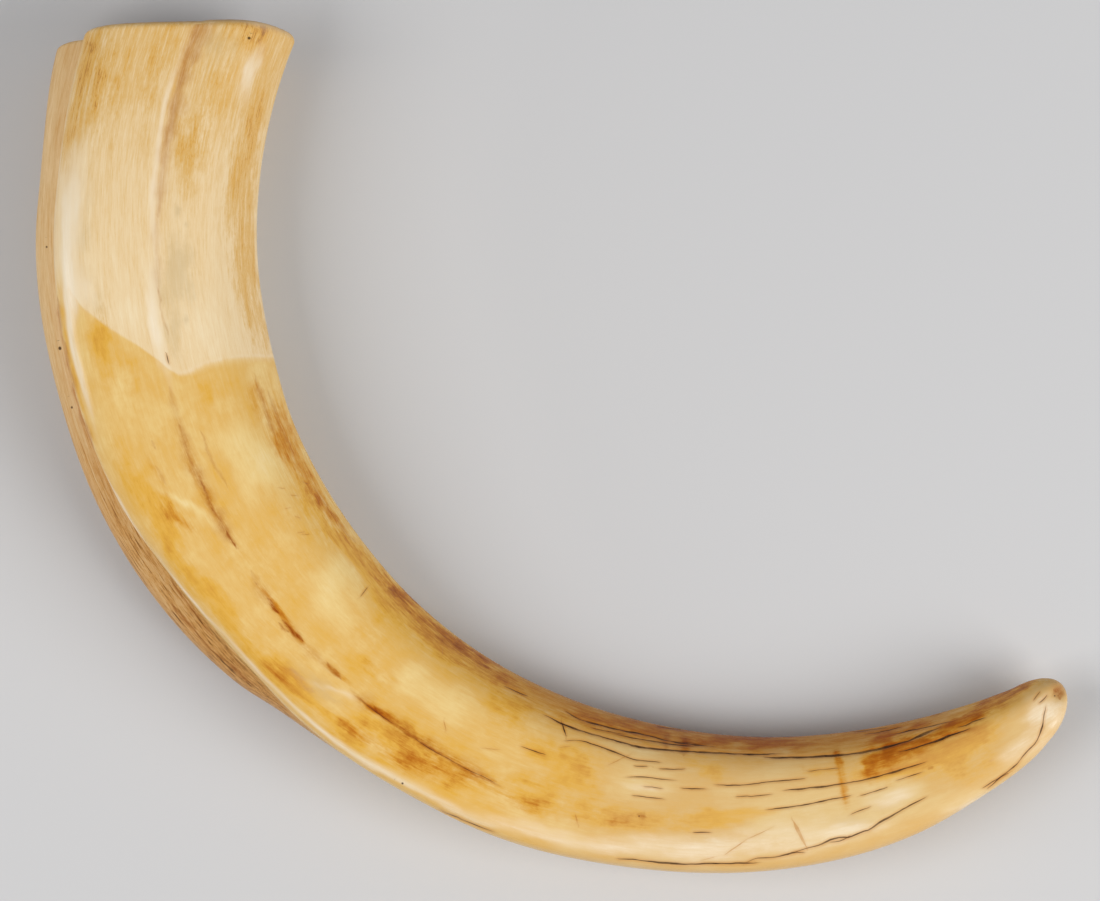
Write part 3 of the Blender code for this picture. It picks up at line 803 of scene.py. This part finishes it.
def markTusk(mesh):
    # notes on the points where the marks are, and presses the cracks in
    points, normals = read(mesh.vertices, "co", 3) / mm, read(mesh.vertex_normals, "vector", 3)
    spine = read(mesh.attributes["spine"].data, "vector", 3)
    cosine, sine, kind = read(mesh.attributes["section"].data, "vector", 3).T
    skin, up = kind < 0.5, normals[:, 2]
    along, across = seenFromAbove(points)
    zones = zonesOf(spine, cosine, sine, along, across)
    noted(mesh, "zones", np.stack(zones, 1))
    top, upper = zones[0], np.maximum(*zones[:2])
    patches = [patched(name, along, across) * upper for name in marks["patches"]]
    noted(mesh, "warmPatches", np.stack(patches[:3], 1))
    noted(mesh, "palePatches", np.stack(patches[3:], 1))
    steeper, least, most = marks["foreshortening"]
    lined = skin & (up > marks["leastUp"]["line"]) & (top > marks["leastTop"])
    slope = np.where(lined, np.clip(up * steeper, least, most), 0)
    markableFromAbove = skin & (up > marks["leastUp"]["stain"]) & (upper > marks["leastTop"])
    underside = skin & (sine < 0)
    seen = np.stack([along, across], 1)
    turned = np.degrees(np.arctan2(sine, cosine)) % 360 * np.radians(1) * marks["hiddenRadius"]
    layers, stainedAndShaded = [], []
    for name, tone in (("cracks", 0), ("scratches", 1)):
        lines = [(width, tone, *line) for width, *line in marks[name]]
        layLines(layers, lines, seen, slope, "line", marks["seeds"][name])
    hidden = []
    for width, *line in marks["hiddenCracks"]:
        hidden.append((width, 0, *((a, math.radians(b) * marks["hiddenRadius"]) for a, b in line)))
    layLines(layers, hidden, np.stack([spine[:, 0], turned], 1), underside * 1.0, "line",
             marks["seeds"]["hiddenCracks"])
    layLines(stainedAndShaded, marks["stains"], seen, markableFromAbove * 1.0, "stain", marks["seeds"]["stains"])
    for number, layer in enumerate(stainedAndShaded):
        noted(mesh, f"stains{number}", layer)
    noted(mesh, "dots", dotted(seen, markableFromAbove))
    depth = np.zeros(len(points))
    for number, layer in enumerate(layers):
        noted(mesh, f"lines{number}", layer)
        offset, width, scratch = layer.T
        press = (1 - smooth(np.abs(offset), 0, marks["crackLip"])) * width / marks["fullWidth"]
        deepest = marks["crackDepth"] * (1 - marks["shallower"] * scratch)
        depth = np.maximum(depth, np.minimum(press, 1) * deepest)
    points -= normals * depth[:, None]
    mesh.vertices.foreach_set("co", (points * mm).ravel())
    mesh.update()
    print(f"marked the tusk in {len(layers)} layers of lines and {len(stainedAndShaded)} of stains")
    return len(layers), len(stainedAndShaded)


def paint(red, green, blue):
    # a colour read off as 0 to 255, made linear
    return (*(((c / 255 + 0.055) / 1.055) ** 2.4 for c in (red, green, blue)), 1)


ivory = {
    # each zone's colours from the palest stain to the deepest: how deep, then red, green and blue
    "tones": {
        "root": ((0.00, 246, 229, 194), (0.30, 235, 207, 160), (0.52, 223, 184, 119),
                 (0.70, 220, 171, 88), (0.86, 204, 148, 72), (1.00, 168, 116, 60)),
        "body": ((0.00, 245, 224, 176), (0.22, 236, 205, 138), (0.40, 227, 184, 106),
                 (0.56, 225, 173, 71), (0.75, 203, 138, 46), (1.00, 160, 98, 34)),
        "strip": ((0.00, 236, 208, 164), (0.35, 216, 180, 128), (0.60, 202, 150, 84),
                  (0.82, 160, 108, 54), (1.00, 108, 72, 36)),
    },
    # plain colours; rust, stain (which also paints shade) and halo multiply what is under them
    "colours": {
        "bone": (206, 173, 128),
        "umberAndShade": (184, 114, 32),
        "rust": (224, 184, 112),
        "white": (247, 233, 208),
        "grey": (208, 182, 136),
        "stain": (197, 146, 86),
        "halo": (226, 186, 140),
        "crack": (68, 45, 28),
        "scratch": (190, 130, 60),
        "cutFace": (228, 194, 146),
        "cutRing": (192, 144, 92),
        "cavity": (150, 106, 66),
    },
    # noises about 0: length along the tusk and width across in mm, detail, roughness and seed
    "noises": {
        "thread": (5, 0.3, 3, 0.7, 3),
        "fibre": (12, 0.8, 5, 0.75, 5),
        "band": (30, 3.2, 3, 0.6, 7),
        "streak": (10, 2.0, 4, 0.7, 9),
        "cloud": (22, 9, 4, 0.6, 11),
        "puff": (6, 6, 4, 0.6, 12),
        "growth": (5, 15, 2, 0.5, 14),
        "mottle": (2.6, 1.8, 4, 0.7, 13),
        "hair": (9, 0.8, 3, 0.75, 21),
        "string": (42, 0.5, 4, 0.65, 34),
    },
    # how much of each noise goes into a zone's depth, a mask or a patch's edge
    "mixes": {
        "root": {"band": 0.15, "streak": 0.10, "puff": 0.04, "fibre": 0.26, "thread": 0.24, "mottle": 0.05},
        "rootAmber": {"fibre": 0.25, "streak": 0.20},
        "body": {"cloud": 0.24, "puff": 0.18, "growth": 0.07, "streak": 0.12,
                 "fibre": 0.09, "thread": 0.10, "mottle": 0.06},
        "underside": {"streak": 0.22, "cloud": 0.25, "growth": 0.18},
        "inner": {"streak": 0.25, "fibre": 0.3, "thread": 0.2},
        "strip": {"band": 0.16, "fibre": 0.34, "thread": 0.36, "mottle": 0.10},
        "umberAndShade": {"streak": 0.6, "fibre": 0.5, "thread": 0.3},
        "rust": {"streak": 0.5, "fibre": 0.4},
        "white": {"fibre": 0.6, "thread": 0.3},
        "stain": {"fibre": 0.8, "thread": 0.6, "mottle": 1.1},
        "line": {"streak": 0.5, "fibre": 0.4, "mottle": 0.4},
        "roughness": {"mottle": 0.05, "fibre": 0.05},
        "plainEdge": {"streak": 0.7, "puff": 0.6, "growth": 0.12, "mottle": 0.25},
        "whiteEdge": {"streak": 0.7, "puff": 0.6, "mottle": 0.25},
        "rustEdge": {"streak": 0.7, "puff": 0.49, "growth": 0.12, "mottle": 0.25,
                     "fibre": 0.22, "thread": 0.22},
    },
    "fraying": {"plainEdge": 3.5, "whiteEdge": 1.5, "rustEdge": 3.1},
    # a zone's plain depth of stain, and what each thing adds to it; the inner side's parts add patina and
    # painted shade
    "depths": {
        "root": {"plain": 0.31, "cutEnd": 0.19, "middle": -0.05, "amber": 0.22, "cream": -0.14, "rust": 0.3,
                 "hairs": 0.28},
        "body": {"plain": 0.37, "middle": 0.07, "tipwards": 0.05, "amber": 0.20, "cream": -0.20, "rust": 0.16,
                 "inner": 0.04, "innerPatinaAndShadeTipwards": 0.08, "hairs": 0.15},
        "strip": {"plain": 0.32, "cutEnd": 0.05, "tipwards": 0.12, "worn": 0.18, "amber": 0.15, "rust": 0.25,
                  "strings": 0.45, "hairs": 0.18},
    },
    # where along the tusk something rises from nothing to full, in mm
    "rises": {
        "pastCutEnd": (-10, 45),
        "pastRoot": (20, 130),
        "inner": (80, 110),
        "innerPatinaAndShadeTipwards": (150, 200),
        "bodyTipwards": (195, 225),
        "bone": (190, 240),
        "umberAndShade": (155, 220),
        "pastUmberAndShade": (292, 322),
        "worn": (50, 110),
        "stripTipwards": (108, 145),
        "hollow": (4, 40),
    },
    "rootMiddle": (66, 20),             # where it is palest, and how far round that
    "bodyMiddle": (172, 45),            # where it is deepest
    "rootGrain": (0.85, 0.6),           # how strong it is, and how much more at the cut end
    "hairWidths": (0.06, 0.05),         # of the root and of the strip, as shares of the noise
    "faceKind": (1, 0.45),              # the noted kind is 0 on the skin, 1 on the cut face
    "hollowKind": (1.2, 1.8),           # and 2 in the cavity
    # the inner side, darkened partly as brown patina and partly as painted shade
    "innerPatinaAndShade": ((0.35, 0.95), (-0.6, 0.0)),   # fades by how much a point looks up, and outwards
    # the gum's edge blurs towards both sides: where, in mm across, and how much
    "gumBlur": ((-9, -1, 0.75), (16.5, 18.5, 0.92)),
    "gumLine": (-0.5, 0.6),             # a pale line just before the edge
    "shares": {"bone": 0.42, "umberAndShade": 0.85, "grey": 0.6, "gumLine": 0.6, "dot": 0.9},
    "ringCentre": 18,                   # height of the middle of the cut face's rings, in mm
    "ringsPerMm": 1.1,
    "specular": 0.12,
    "roughness": 0.26,
    "rootRoughness": 0.40,
    # how much rougher or duller some places are
    "rougher": {"face": 0.25, "hollow": 0.3, "lines": 0.35, "strip": 0.12},
    "coat": 0.28,
    "coatRoughness": 0.15,
    "coatLift": (-0.1, 0.6, 0.7),       # less coat where the surface turns down
    "grainHeight": 0.02,                # mm
}


def finishIvory(material, lineLayers, stainAndShadeLayers):
    material.use_nodes = True
    tree = material.node_tree
    tree.nodes.clear()
    bench = Value(tree)

    def note(name):
        return bench.node("ShaderNodeAttribute", {"attribute_name": name}, None, 1)

    def tinted(under, over, share, blend="MIX"):
        # over laid on under; both are colours or the names of colours
        layers = [paint(*ivory["colours"][each]) if isinstance(each, str) else each for each in (under, over)]
        inputs = {0: share, 6: layers[0], 7: layers[1]}
        return bench.node("ShaderNodeMix", {"data_type": "RGBA", "blend_type": blend}, inputs, 2)

    def toned(zone, depth):
        stops = [(place, paint(*colour)) for place, *colour in ivory["tones"][zone]]
        return bench.node("ShaderNodeValToRGB", {"stops": stops}, {0: depth.clamped()})

    spine = note("spine")
    noises = {name: stretched(spine, length, width).noise(1, detail, rough, seed)
              for name, (length, width, detail, rough, seed) in ivory["noises"].items()}

    def mixed(name):
        first, *others = (noises[each] * share for each, share in ivory["mixes"][name].items())
        return sum(others, first)

    def frayed(mask, edge="plainEdge"):
        # a soft patch with its edge broken up by the grain
        ragged = mask + mixed(edge) * mask * (1 - mask) * ivory["fraying"][edge]
        return ragged.ramp(0.05, 1.0)

    def deepened(zone, parts):
        # a zone's plain depth with each part added at its own weight
        weights = ivory["depths"][zone]
        return sum((part * weights[name] for name, part in parts.items()), weights["plain"])

    along, out, height = spine.parts()
    top, strip, gum = note("zones").parts()
    cream, amber, rust = note("warmPatches").parts()
    white, grey, dark = note("palePatches").parts()
    around, lift, kind = note("section").parts()
    rise = {name: along.ramp(*ends) for name, ends in ivory["rises"].items()}
    face, hollow = kind.bell(*ivory["faceKind"]), kind.ramp(*ivory["hollowKind"])
    cream, amber, grey = frayed(cream), frayed(amber), frayed(grey)
    rust, white = frayed(rust, "rustEdge"), frayed(white, "whiteEdge")
    root, cutEnd = 1 - rise["pastRoot"], 1 - rise["pastCutEnd"]
    hair = abs(noises["hair"])
    rootHair, stripHair = ((1 - hair / width).clamped() for width in ivory["hairWidths"])
    hairs = rootHair * (amber * 0.7 + cutEnd * 0.3 + 0.1)

    # the root, under the gum: pale fibrous bone colour, darker towards the cut end
    depth = deepened("root", {"cutEnd": cutEnd, "middle": along.bell(*ivory["rootMiddle"]), "amber": amber,
                              "cream": cream, "rust": rust, "hairs": hairs})
    grain, more = ivory["rootGrain"]
    rootTone = toned("root", depth + mixed("root") * (cutEnd * more + grain) + amber * mixed("rootAmber"))

    # past the gum: polished honey with clouds, amber and rust, and bone and umber near the tip; the umber and
    # the inner side's extra depth are partly brown patina and partly painted shade
    # inner: where the skin faces down and inwards; it deepens the colour partly as patina, partly as painted
    # shade
    low, inwards = ivory["innerPatinaAndShade"]
    inner = (1 - lift.ramp(*low)) * (1 - around.ramp(*inwards))
    depth = deepened("body", {"middle": along.bell(*ivory["bodyMiddle"]), "tipwards": rise["bodyTipwards"],
                              "amber": amber, "cream": cream, "rust": rust, "inner": inner * rise["inner"],
                              "innerPatinaAndShadeTipwards": inner * rise["innerPatinaAndShadeTipwards"], "hairs": (1 - top) * hairs})
    depth = depth + mixed("body") + (1 - top) * mixed("underside") + inner * rise["inner"] * mixed("inner")
    bodyTone = toned("body", depth)
    bone = rise["bone"] * (1 - amber * 0.6 - rust - inner).clamped()
    bodyTone = tinted(bodyTone, "bone", bone * ivory["shares"]["bone"])
    # umber on the inner side: brown patina with painted shade
    umberAndShade = inner * (rise["umberAndShade"] - rise["pastUmberAndShade"] * 0.8) * (0.85 + mixed("umberAndShade"))
    umberAndShade = umberAndShade.clamped()
    bodyTone = tinted(bodyTone, "umberAndShade", umberAndShade * ivory["shares"]["umberAndShade"])
    bodyTone = tinted(bodyTone, "rust", rust * (0.9 + mixed("rust")).clamped(), "MULTIPLY")
    (nearEnd, nearStart, near), (farStart, farEnd, far) = ivory["gumBlur"]
    crisp = (out.ramp(nearEnd, nearStart) * near + (1 - near)) * (1 - out.ramp(farStart, farEnd) * far)
    tone = tinted(rootTone, bodyTone, (gum * crisp).ramp(-0.5, 0.5))
    tone = tinted(tone, "grey", grey * ivory["shares"]["grey"])
    # white: pale ivory, and painted highlights on the ridge crest, the groove's lip, the outer band and the
    # inner corner
    tone = tinted(tone, "white", white * (0.74 + mixed("white")).clamped())
    gumLine = gum.bell(*ivory["gumLine"]) * (1 - out.ramp(-10, 2)) * (0.4 + noises["streak"]).clamped()
    tone = tinted(tone, "white", gumLine * ivory["shares"]["gumLine"])

    # the brown, stringy strip along the furrow
    worn = rise["worn"]
    strings = noises["string"].ramp(0.0, 0.4) * worn
    depth = deepened("strip", {"cutEnd": cutEnd, "tipwards": rise["stripTipwards"], "worn": worn,
                               "amber": amber, "rust": rust, "strings": strings, "hairs": stripHair * worn})
    tone = tinted(tone, toned("strip", depth + mixed("strip")), strip)

    # stains and painted shade, pinholes and cracks, from the notes on the mesh
    speckled = (0.72 + mixed("stain") * (1 - root * 0.65)).clamped()
    # these layers hold real stains, and also the painted shade along the groove and the furrow
    for number in range(stainAndShadeLayers):
        offset, width, strength = note(f"stains{number}").parts()
        soft = offset.bell(0, width.maths("MAXIMUM", 0.1) * 0.6) * width.ramp(0.05, 0.3)
        tone = tinted(tone, "stain", soft * strength * speckled, "MULTIPLY")
    tone = tinted(tone, "stain", dark, "MULTIPLY")
    across, aside, radius = note("dots").parts()
    fromDot = (across ** 2 + aside ** 2) ** 0.5 - radius
    lines = (1 - fromDot.ramp(-0.12, 0.12)) * radius.ramp(0.05, 0.15)
    tone = tinted(tone, "crack", lines * ivory["shares"]["dot"])
    for number in range(lineLayers):
        offset, width, scratch = note(f"lines{number}").parts()
        beside = abs(offset) - width / 2
        there = width.ramp(0.01, 0.09)
        halo = (1 - beside.ramp(0, 0.7)) * there * (0.45 - scratch * 0.3)
        tone = tinted(tone, "halo", halo, "MULTIPLY")
        line = (1 - beside.ramp(-0.05, 0.07)) * there * (0.84 - scratch * 0.3 + mixed("line")).clamped()
        tone = tinted(tone, tinted("crack", "scratch", scratch), line)
        lines = lines.maths("MAXIMUM", line)

    # the cut face's rings, and the brown cavity, paler at its mouth
    mottle = noises["mottle"]
    fromMiddle = (out ** 2 + (height - ivory["ringCentre"]) ** 2) ** 0.5
    rings = (fromMiddle * ivory["ringsPerMm"] + mottle * 0.7).maths("SINE") * 0.5 + 0.5
    tone = tinted(tone, tinted("cutFace", "cutRing", (rings * 0.35 + mottle * 0.5).clamped()), face)
    paler = (mottle * 0.8 + 0.2).clamped() * (1 - rise["hollow"])
    tone = tinted(tone, tinted("cavity", "cutRing", paler), hollow)

    rough = ivory["roughness"] + root * (ivory["rootRoughness"] - ivory["roughness"]) + mixed("roughness")
    for name, place in (("face", face), ("hollow", hollow), ("lines", lines), ("strip", strip)):
        rough = rough + place * ivory["rougher"][name]
    start, end, share = ivory["coatLift"]
    coat = 1 - root * 0.5 - face - hollow - lines - (rust * 0.9).maths("MAXIMUM", umberAndShade * 0.7)
    coat = coat * (lift.ramp(start, end) * share + (1 - share)) * ivory["coat"]
    grain = noises["fibre"] * (root * 0.8 + 0.2) + noises["thread"] * root * 0.6
    grain = grain + noises["string"] * strip * 1.5 - lines * 2
    heights = {"Strength": 1.0, "Distance": ivory["grainHeight"] * mm, "Height": grain}
    shader = bench.node("ShaderNodeBsdfPrincipled", None, {
        "Base Color": tone,
        "Roughness": rough.clamped(),
        "Normal": bench.node("ShaderNodeBump", None, heights),
        "Specular IOR Level": ivory["specular"],
        "Coat Weight": coat.clamped(),
        "Coat Roughness": ivory["coatRoughness"],
    })
    bench.node("ShaderNodeOutputMaterial", None, {"Surface": shader})


def settle(mesh):
    # puts the middle of the tusk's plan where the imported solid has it
    points = read(mesh.vertices, "co", 3)
    low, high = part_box("tusk")
    middle = (points.min(0) + points.max(0)) / 2
    points[:, :2] += (np.array((low + high) / 2) - middle)[:2]
    mesh.vertices.foreach_set("co", points.ravel())
    mesh.update()


print("sweeping the tusk")
ivoryMaterial = bpy.data.materials.new("ivory")
skin = sweptTusk(ivoryMaterial)
settle(skin.data)
lineLayers, stainAndShadeLayers = markTusk(skin.data)
print("finishing the ivory")
finishIvory(ivoryMaterial, lineLayers, stainAndShadeLayers)
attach(skin, "root")
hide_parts("tusk")


# The stage: a pale floor, soft light, and a camera that looks straight down, as the photograph does.

studio = {
    "floorReach": 6.0,                  # metres
    "floorTone": (0.62, 0.62, 0.63, 1),
    "skyTone": (0.88, 0.93, 1.0, 1),
    "skyStrength": 0.24,
    # each lamp's bearing and height in degrees, distance and size in metres, power, and whether it glints
    "lamps": {
        "rightSoftbox": (336, 40, 1.4, 0.9, 14.0, False),
        "leftSoftbox": (193, 48, 1.4, 0.9, 9.5, False),
        "rightLamp": (341, 22, 1.3, 0.3, 1.6, True),
        "leftLamp": (187, 18, 1.3, 0.3, 2.0, True),
    },
    "lampTone": (1.0, 0.98, 0.95),
}


def floor():
    reach = studio["floorReach"]
    corners = [(-reach, -reach, 0), (reach, -reach, 0), (reach, reach, 0), (-reach, reach, 0)]
    mesh = bpy.data.meshes.new("floor")
    mesh.from_pydata(corners, [], [(0, 1, 2, 3)])
    matt = bpy.data.materials.new("floorPaint")
    matt.use_nodes = True
    shader = matt.node_tree.nodes["Principled BSDF"]
    shader.inputs["Base Color"].default_value = studio["floorTone"]
    shader.inputs["Roughness"].default_value = 0.9
    mesh.materials.append(matt)
    made = bpy.data.objects.new("floor", mesh)
    bpy.context.scene.collection.objects.link(made)


def lamp(name, bearing, rise, distance, size, power, glints):
    light = bpy.data.lights.new(name, "AREA")
    light.shape, light.size, light.energy, light.color = "SQUARE", size, power, studio["lampTone"]
    level = distance * math.cos(math.radians(rise))
    place = Vector((level * math.cos(math.radians(bearing)), level * math.sin(math.radians(bearing)),
                    distance * math.sin(math.radians(rise))))
    made = bpy.data.objects.new(name, light)
    made.location = place
    made.rotation_euler = (-place).to_track_quat("-Z", "Y").to_euler()
    made.visible_glossy = glints
    bpy.context.scene.collection.objects.link(made)


def camera():
    data = bpy.data.cameras.new("camera")
    made = bpy.data.objects.new("camera", data)
    bpy.context.scene.collection.objects.link(made)
    made.location = (view["aim"][0] * mm, view["aim"][1] * mm, view["eye"] * mm)
    data.sensor_width = view["sensor"]
    data.lens = view["sensor"] * (view["eye"] - view["sharp"]) / view["frameWidth"]
    data.clip_start, data.clip_end = 0.01, 20
    bpy.context.scene.camera = made


def sky():
    world = bpy.data.worlds.new("sky")
    world.use_nodes = True
    background = world.node_tree.nodes["Background"]
    background.inputs["Color"].default_value = studio["skyTone"]
    background.inputs["Strength"].default_value = studio["skyStrength"]
    bpy.context.scene.world = world


print("setting the stage")
floor()
for name, settings in studio["lamps"].items():
    lamp(name, *settings)
camera()
sky()
bpy.context.scene.view_settings.view_transform = "Standard"
